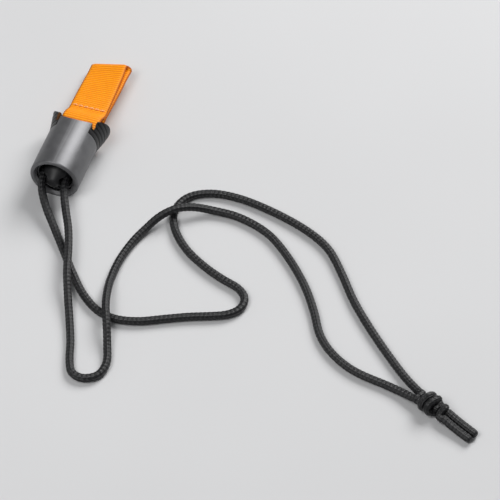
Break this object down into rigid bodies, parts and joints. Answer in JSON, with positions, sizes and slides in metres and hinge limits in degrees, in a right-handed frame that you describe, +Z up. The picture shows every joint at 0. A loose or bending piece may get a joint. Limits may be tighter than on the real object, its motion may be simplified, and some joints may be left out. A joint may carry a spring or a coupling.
{
  "type": "cord lock",
  "caption": "Tubular spring cord lock with ribbed release ears, a folded webbing pull tab and a two-strand drawcord that ends in an overhand knot.",
  "frame": {"origin": "middle of the barrel's flat back, on the surface that the lock lies on", "axes": "+Y along the barrel from the cord mouth to the webbing tab, +Z up out of the front of the barrel, +X to the right with the mouth nearest the viewer"},
  "size_m": [0.178, 0.1342, 0.0168],
  "materials": {
    "barrel_plastic": "satin moulded grey",
    "sleeve_plastic": "glossy black",
    "core_plastic": "satin black",
    "ear_plastic": "satin dark grey",
    "spring_steel": "drawn wire",
    "orange_webbing": "ribbed woven polyester",
    "tab_thread": "sewing thread",
    "black_cord": "braided polyester"
  },
  "bodies": {
    "housing": {"barrel": "barrel_plastic", "throat_sleeve": "sleeve_plastic", "spring_retainer": "core_plastic", "spring": "spring_steel", "drawcord_left": "black_cord", "drawcord_right": "black_cord", "cord_knot": "black_cord", "cord_tail_left": "black_cord", "cord_tail_right": "black_cord"},
    "release_slider": {"wedge_core": "core_plastic", "release_head": "ear_plastic", "webbing_bar": "spring_steel"},
    "tab": {"pull_tab": "orange_webbing", "tab_stitching": "tab_thread"}
  },
  "joints": [
    {"name": "release_slide", "type": "slide", "parent": "housing", "child": "release_slider", "axis": [0, 1, 0], "range_m": [0, 0.004], "stiffness_N_per_m": 400, "springref_m": -0.004, "deforming": ["spring"]},
    {"name": "tab_swing", "type": "hinge", "parent": "release_slider", "child": "tab", "pos_m": [0, 0.012, 0.008], "axis": [1, 0, 0], "range_deg": [0, 50]}
  ]
}
